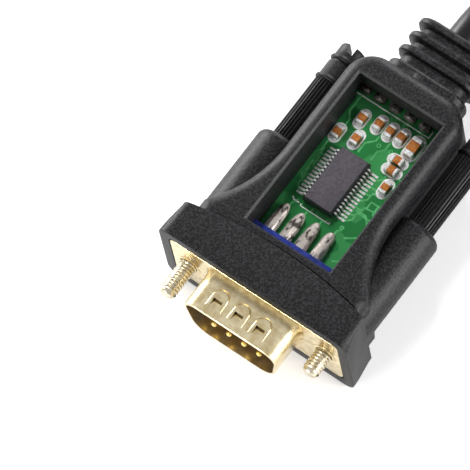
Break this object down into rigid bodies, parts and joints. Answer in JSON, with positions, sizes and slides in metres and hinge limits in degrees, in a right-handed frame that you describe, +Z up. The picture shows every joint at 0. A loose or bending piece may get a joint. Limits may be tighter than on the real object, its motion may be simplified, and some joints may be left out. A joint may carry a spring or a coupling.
{
  "type": "usb to serial adapter cable",
  "caption": "Adapter cable: serial plug in a moulded hood with a windowed circuit bay and captive thumbscrews, a ribbed strain relief, and a coiled cable that ends in a USB plug.",
  "frame": {"origin": "centre of the serial connector flange's front face, midway between the two thumbscrews", "axes": "+X across the connector, +Y from the connector towards its cable, +Z up out of the window"},
  "size_m": [0.0848, 0.118, 0.0194],
  "materials": {
    "hood_plastic": "moulded, finely grained",
    "relief_plastic": "moulded, satin",
    "gold_steel": "thin yellow plating, satin",
    "blue_insulator": "moulded",
    "gold_contacts": "plated, bright",
    "board": "green solder mask",
    "chip_case": "moulded epoxy",
    "tin": "tinned, satin",
    "ceramic": "fired ceramic",
    "solder": "soft and bright",
    "wire_red": "wire insulation",
    "wire_white": "wire insulation",
    "wire_green": "wire insulation",
    "wire_black": "wire insulation",
    "screw_steel": "plated, satin",
    "grip_plastic": "moulded",
    "jacket": "smooth cable jacket",
    "usb_metal": "nickel plated",
    "usb_black": "moulded"
  },
  "bodies": {
    "adapter": {"hood": "hood_plastic", "strain_relief": "relief_plastic", "dsub_front_shell": "gold_steel", "dsub_rear_shell": "gold_steel", "dsub_insulator": "blue_insulator", "upper_pins": "gold_contacts", "lower_pins": "gold_contacts", "flange_eyelets": "gold_steel", "pcb": "board", "converter_chip": "chip_case", "converter_chip_leads": "tin", "capacitor_bodies": "ceramic", "capacitor_ends": "tin", "connector_solder": "solder", "cable_solder": "solder", "level_shifter_chip": "chip_case", "level_shifter_leads": "tin", "pump_capacitor_bodies": "ceramic", "pump_capacitor_ends": "tin", "conductor_red": "wire_red", "conductor_white": "wire_white", "conductor_green": "wire_green", "conductor_black": "wire_black", "drain_wire": "tin", "cable_entry": "jacket", "cable": "jacket", "cable_coil": "jacket", "cable_tie": "relief_plastic", "cable_tail": "jacket", "usb_boot": "relief_plastic", "usb_grip": "hood_plastic", "usb_shell": "usb_metal", "usb_tongue": "usb_black", "usb_contacts": "gold_contacts"},
    "left_screw": {"left_jackscrew": "screw_steel", "left_grip": "grip_plastic"},
    "right_screw": {"right_jackscrew": "screw_steel", "right_grip": "grip_plastic"}
  },
  "joints": [
    {"name": "left_thumbscrew_turn", "type": "hinge", "parent": "adapter", "child": "left_screw", "pos_m": [-0.01249, 0.02, 0], "axis": [0, -1, 0], "continuous": true},
    {"name": "right_thumbscrew_turn", "type": "hinge", "parent": "adapter", "child": "right_screw", "pos_m": [0.01249, 0.02, 0], "axis": [0, -1, 0], "continuous": true}
  ]
}
